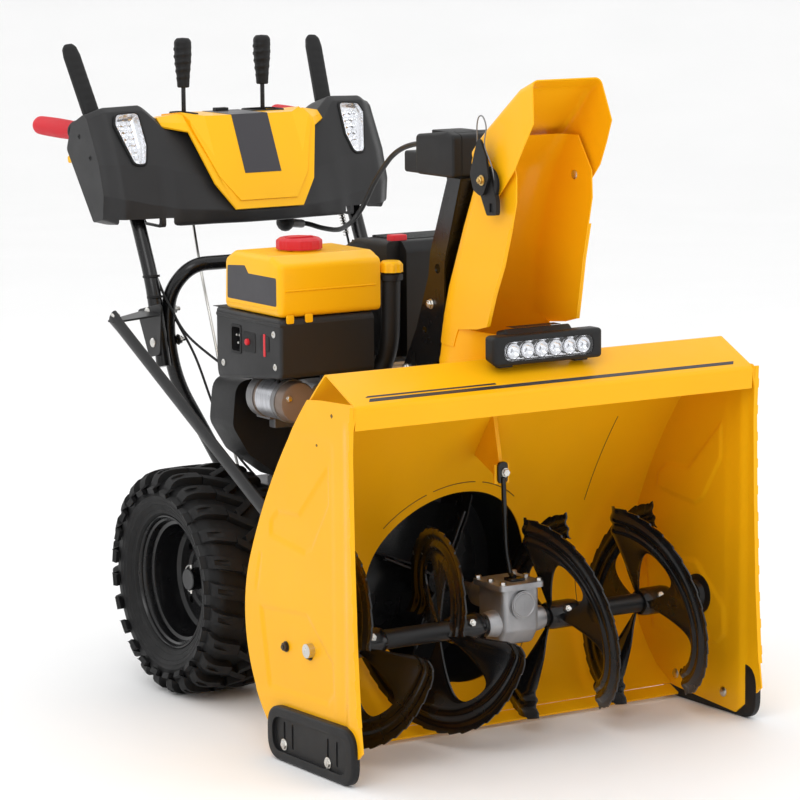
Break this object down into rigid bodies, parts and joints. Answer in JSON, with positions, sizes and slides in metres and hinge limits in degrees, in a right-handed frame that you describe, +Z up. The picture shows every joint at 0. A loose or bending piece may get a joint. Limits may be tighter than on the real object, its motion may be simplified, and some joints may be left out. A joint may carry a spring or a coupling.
{
  "type": "two stage snowblower",
  "caption": "Walk-behind two stage snowblower with serrated augers, a turning chute, engine, drive wheels and a control panel between its handles.",
  "frame": {"origin": "on the ground, under the centre of the machine's overall outline", "axes": "+Z up, -Y the direction of travel, +X the operator's left hand side"},
  "size_m": [0.8, 1.3292, 1.102],
  "materials": {
    "yellow_paint": "gloss powder coat, warm yellow",
    "black_paint": "gloss black enamel",
    "black_plastic": "fine grained black plastic",
    "grey_plastic": "fine grained dark grey plastic",
    "rubber": "matt black rubber",
    "red_plastic": "satin red plastic and soft grip rubber",
    "cast_metal": "as-cast aluminium",
    "steel": "turned steel",
    "bronze": "machined bronze",
    "starter_paint": "satin taupe paint"
  },
  "bodies": {
    "snowblower": {"housing_shell": "yellow_paint", "impeller_housing": "yellow_paint", "scraper_bar": "yellow_paint", "side_plate_left": "yellow_paint", "side_plate_right": "yellow_paint", "chute_adapter": "yellow_paint", "fuel_tank": "yellow_paint", "panel_cover": "yellow_paint", "gearbox_strap": "black_paint", "frame_case": "black_paint", "chute_support": "black_paint", "handle_hoop": "black_paint", "upper_handle": "black_paint", "brace_left": "black_paint", "brace_right": "black_paint", "skid_shoe_left": "black_plastic", "skid_shoe_right": "black_plastic", "light_bar": "black_plastic", "belt_cover": "black_plastic", "chute_head": "black_plastic", "chute_cable": "black_plastic", "blower_housing": "black_plastic", "switch_box": "black_plastic", "heater_box": "black_plastic", "panel": "grey_plastic", "auger_belt": "rubber", "grip_left": "red_plastic", "grip_right": "red_plastic", "gearbox_case": "cast_metal", "engine_block": "cast_metal", "starter_motor": "starter_paint"},
    "auger": {"auger_shaft": "steel", "auger_right": "black_paint", "auger_left": "black_paint", "worm_wheel": "bronze"},
    "impeller": {"impeller": "black_paint", "impeller_shaft": "steel", "auger_pulley": "steel"},
    "crank": {"crank_pulley": "steel"},
    "friction_disc": {"friction_disc": "cast_metal"},
    "friction_wheel": {"friction_wheel": "rubber"},
    "wheel_right": {"tyre_right": "rubber", "rim_right": "black_paint"},
    "wheel_left": {"tyre_left": "rubber", "rim_left": "black_paint"},
    "chute": {"chute": "yellow_paint", "tilt_bracket": "black_plastic"},
    "deflector": {"deflector": "yellow_paint"},
    "auger_clutch_lever": {"auger_clutch_lever": "black_plastic"},
    "drive_clutch_lever": {"drive_clutch_lever": "black_plastic"},
    "joystick_yoke": {"joystick_yoke": "black_plastic"},
    "joystick": {"joystick": "black_plastic"},
    "speed_lever": {"speed_lever": "black_plastic"},
    "trigger_right": {"steering_trigger_right": "yellow_paint"},
    "trigger_left": {"steering_trigger_left": "yellow_paint"},
    "fuel_cap": {"fuel_cap": "red_plastic"},
    "dipstick": {"dipstick": "yellow_paint"},
    "start_button": {"start_button": "red_plastic"},
    "recoil_handle": {"recoil_handle": "black_plastic"}
  },
  "joints": [
    {"name": "auger_spin", "type": "hinge", "parent": "snowblower", "child": "auger", "pos_m": [0, -0.4946, 0.191], "axis": [1, 0, 0], "continuous": true},
    {"name": "impeller_spin", "type": "hinge", "parent": "snowblower", "child": "impeller", "pos_m": [0, -0.1796, 0.223], "axis": [0, 1, 0], "continuous": true},
    {"name": "crank_spin", "type": "hinge", "parent": "snowblower", "child": "crank", "pos_m": [0, -0.1346, 0.424], "axis": [0, 1, 0], "continuous": true},
    {"name": "friction_disc_spin", "type": "hinge", "parent": "snowblower", "child": "friction_disc", "pos_m": [0, -0.1146, 0.256], "axis": [0, 1, 0], "continuous": true},
    {"name": "friction_wheel_spin", "type": "hinge", "parent": "snowblower", "child": "friction_wheel", "pos_m": [0, -0.0346, 0.256], "axis": [1, 0, 0], "continuous": true},
    {"name": "wheel_right_spin", "type": "hinge", "parent": "snowblower", "child": "wheel_right", "pos_m": [-0.249, 0.0834, 0.195], "axis": [1, 0, 0], "continuous": true},
    {"name": "wheel_left_spin", "type": "hinge", "parent": "snowblower", "child": "wheel_left", "pos_m": [0.249, 0.0834, 0.195], "axis": [1, 0, 0], "continuous": true},
    {"name": "chute_turn", "type": "hinge", "parent": "snowblower", "child": "chute", "pos_m": [0, -0.4366, 0.592], "axis": [0, -0.2079, 0.9781], "range_deg": [-90, 90]},
    {"name": "deflector_tilt", "type": "hinge", "parent": "chute", "child": "deflector", "pos_m": [0, -0.5486, 0.918], "axis": [1, 0, 0], "range_deg": [0, 24]},
    {"name": "auger_clutch_press", "type": "hinge", "parent": "snowblower", "child": "auger_clutch_lever", "pos_m": [0.24, 0.4634, 0.952], "axis": [-1, 0, 0], "range_deg": [0, 38], "stiffness_Nm_per_rad": 1.5, "springref_deg": -22.92},
    {"name": "drive_clutch_press", "type": "hinge", "parent": "snowblower", "child": "drive_clutch_lever", "pos_m": [-0.24, 0.4634, 0.952], "axis": [-1, 0, 0], "range_deg": [0, 38], "stiffness_Nm_per_rad": 1.5, "springref_deg": -22.92},
    {"name": "joystick_side", "type": "hinge", "parent": "snowblower", "child": "joystick_yoke", "pos_m": [0.073, 0.4104, 0.8895], "axis": [0, 1, 0], "range_deg": [-16, 16]},
    {"name": "joystick_fore_aft", "type": "hinge", "parent": "joystick_yoke", "child": "joystick", "pos_m": [0.073, 0.4104, 0.904], "axis": [1, 0, 0], "range_deg": [-16, 16]},
    {"name": "speed_shift", "type": "hinge", "parent": "snowblower", "child": "speed_lever", "pos_m": [-0.09, 0.4104, 0.894], "axis": [1, 0, 0], "range_deg": [-19, 19]},
    {"name": "trigger_right_pull", "type": "hinge", "parent": "snowblower", "child": "trigger_right", "pos_m": [-0.268, 0.4504, 0.906], "axis": [1, 0, 0], "range_deg": [0, 12], "stiffness_Nm_per_rad": 0.4, "springref_deg": -17.19},
    {"name": "trigger_left_pull", "type": "hinge", "parent": "snowblower", "child": "trigger_left", "pos_m": [0.268, 0.4504, 0.906], "axis": [1, 0, 0], "range_deg": [0, 12], "stiffness_Nm_per_rad": 0.4, "springref_deg": -17.19},
    {"name": "fuel_cap_turn", "type": "hinge", "parent": "snowblower", "child": "fuel_cap", "pos_m": [-0.156, -0.0946, 0.78], "axis": [0, 0, 1], "range_deg": [0, 180]},
    {"name": "dipstick_turn", "type": "hinge", "parent": "snowblower", "child": "dipstick", "pos_m": [-0.032, -0.1846, 0.735], "axis": [0, 0, 1], "range_deg": [0, 180]},
    {"name": "start_button_press", "type": "slide", "parent": "snowblower", "child": "start_button", "axis": [1, 0, 0], "range_m": [0, 0.003], "stiffness_N_per_m": 200, "springref_m": -0.004},
    {"name": "recoil_pull", "type": "slide", "parent": "snowblower", "child": "recoil_handle", "axis": [0, 1, 0], "range_m": [0, 0.5], "stiffness_N_per_m": 15, "springref_m": -0.6}
  ],
  "couplings": [
    {"joint": "impeller_spin", "follows": "auger_spin", "ratio": 10},
    {"joint": "crank_spin", "follows": "friction_disc_spin", "ratio": 2.5},
    {"joint": "joystick_side", "follows": "chute_turn", "ratio": 0.17},
    {"joint": "joystick_fore_aft", "follows": "deflector_tilt", "ratio": 0.55}
  ]
}
